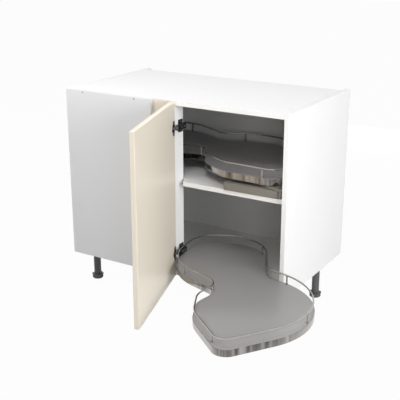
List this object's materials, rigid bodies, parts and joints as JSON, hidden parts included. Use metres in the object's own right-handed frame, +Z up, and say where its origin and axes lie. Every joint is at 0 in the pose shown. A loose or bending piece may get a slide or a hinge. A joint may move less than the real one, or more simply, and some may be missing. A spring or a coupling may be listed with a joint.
{
  "type": "blind corner base cabinet",
  "caption": "Floor-standing corner kitchen cabinet with a fixed blind panel, a hinged door and kidney-shaped trays that swing out on arms.",
  "frame": {"origin": "on the floor, on the turning axis of the front left levelling foot", "axes": "+X to the right along the cabinet front, +Y from the front to the back, +Z up; the door and trays face -Y"},
  "size_m": [1.2247, 1.1466, 0.87],
  "materials": {
    "white_board": "melamine-faced particle board",
    "white_front": "smooth white foil on board",
    "cream_front": "smooth cream foil on board",
    "steel": "zinc-plated steel",
    "dark_steel": "dark nickel-plated steel",
    "chrome": "polished chrome-plated steel",
    "painted_rail": "beige-grey powder-coated steel",
    "tray_board": "grey-white melamine-faced board",
    "white_plastic": "moulded plastic",
    "dark_plastic": "moulded dark grey plastic"
  },
  "bodies": {
    "carcass": {"left_side_panel": "white_board", "right_side_panel": "white_board", "bottom_panel": "white_board", "top_panel": "white_board", "back_panel": "white_board", "blind_front_panel": "white_front", "corner_post": "cream_front", "hinge_stile": "white_board", "fixed_shelf": "white_board", "shelf_pins": "steel", "front_panel_screws": "steel", "top_fixing_caps": "white_plastic", "leg_brackets": "dark_plastic", "leg_tubes": "dark_plastic", "lower_hinge_plate": "dark_steel", "lower_hinge_arm": "dark_steel", "upper_hinge_plate": "dark_steel", "upper_hinge_arm": "dark_steel", "lower_base_rail": "painted_rail", "lower_pivot_post": "chrome", "lower_post_cap": "dark_plastic", "upper_base_rail": "painted_rail", "upper_pivot_post": "chrome", "upper_post_cap": "dark_plastic"},
    "door": {"door_panel": "cream_front", "lower_hinge_link": "chrome", "lower_hinge_cup": "dark_steel", "upper_hinge_link": "chrome", "upper_hinge_cup": "dark_steel"},
    "lower_arm": {"lower_swing_arm": "painted_rail"},
    "lower_tray": {"lower_tray_hub": "steel", "lower_tray_board": "tray_board", "lower_edge_band": "chrome", "lower_gallery_rail": "chrome", "lower_rail_posts": "chrome"},
    "upper_arm": {"upper_swing_arm": "painted_rail"},
    "upper_tray": {"upper_tray_hub": "steel", "upper_tray_board": "tray_board", "upper_edge_band": "chrome", "upper_gallery_rail": "chrome", "upper_rail_posts": "chrome"},
    "foot_front_left_body": {"foot_front_left": "dark_plastic"},
    "foot_front_right_body": {"foot_front_right": "dark_plastic"},
    "foot_rear_left_body": {"foot_rear_left": "dark_plastic"},
    "foot_rear_right_body": {"foot_rear_right": "dark_plastic"}
  },
  "joints": [
    {"name": "door_swing", "type": "hinge", "parent": "carcass", "child": "door", "pos_m": [0.46875, -0.0999, 0.51], "axis": [0, 0, -1], "range_deg": [-12, 33]},
    {"name": "lower_arm_swing", "type": "hinge", "parent": "carcass", "child": "lower_arm", "pos_m": [0.917, -0.053, 0.2], "axis": [0, 0, -1], "range_deg": [0, 6]},
    {"name": "lower_tray_turn", "type": "hinge", "parent": "lower_arm", "child": "lower_tray", "pos_m": [0.83087, -0.39206, 0.2], "axis": [0, 0, -1], "range_deg": [0, 9]},
    {"name": "upper_arm_swing", "type": "hinge", "parent": "carcass", "child": "upper_arm", "pos_m": [0.917, -0.053, 0.58], "axis": [0, 0, 1], "range_deg": [0, 30]},
    {"name": "upper_tray_turn", "type": "hinge", "parent": "upper_arm", "child": "upper_tray", "pos_m": [0.587, 0.06309, 0.58], "axis": [0, 0, -1], "range_deg": [0, 60]},
    {"name": "foot_front_left_turn", "type": "hinge", "parent": "carcass", "child": "foot_front_left_body", "pos_m": [0, 0, 0.01], "axis": [0, 0, 1], "continuous": true},
    {"name": "foot_front_right_turn", "type": "hinge", "parent": "carcass", "child": "foot_front_right_body", "pos_m": [0.914, 0, 0.01], "axis": [0, 0, 1], "continuous": true},
    {"name": "foot_rear_left_turn", "type": "hinge", "parent": "carcass", "child": "foot_rear_left_body", "pos_m": [0, 0.327, 0.01], "axis": [0, 0, 1], "continuous": true},
    {"name": "foot_rear_right_turn", "type": "hinge", "parent": "carcass", "child": "foot_rear_right_body", "pos_m": [0.914, 0.327, 0.01], "axis": [0, 0, 1], "continuous": true}
  ],
  "couplings": [
    {"joint": "lower_tray_turn", "follows": "lower_arm_swing", "ratio": 1.5},
    {"joint": "upper_tray_turn", "follows": "upper_arm_swing", "ratio": 2}
  ]
}
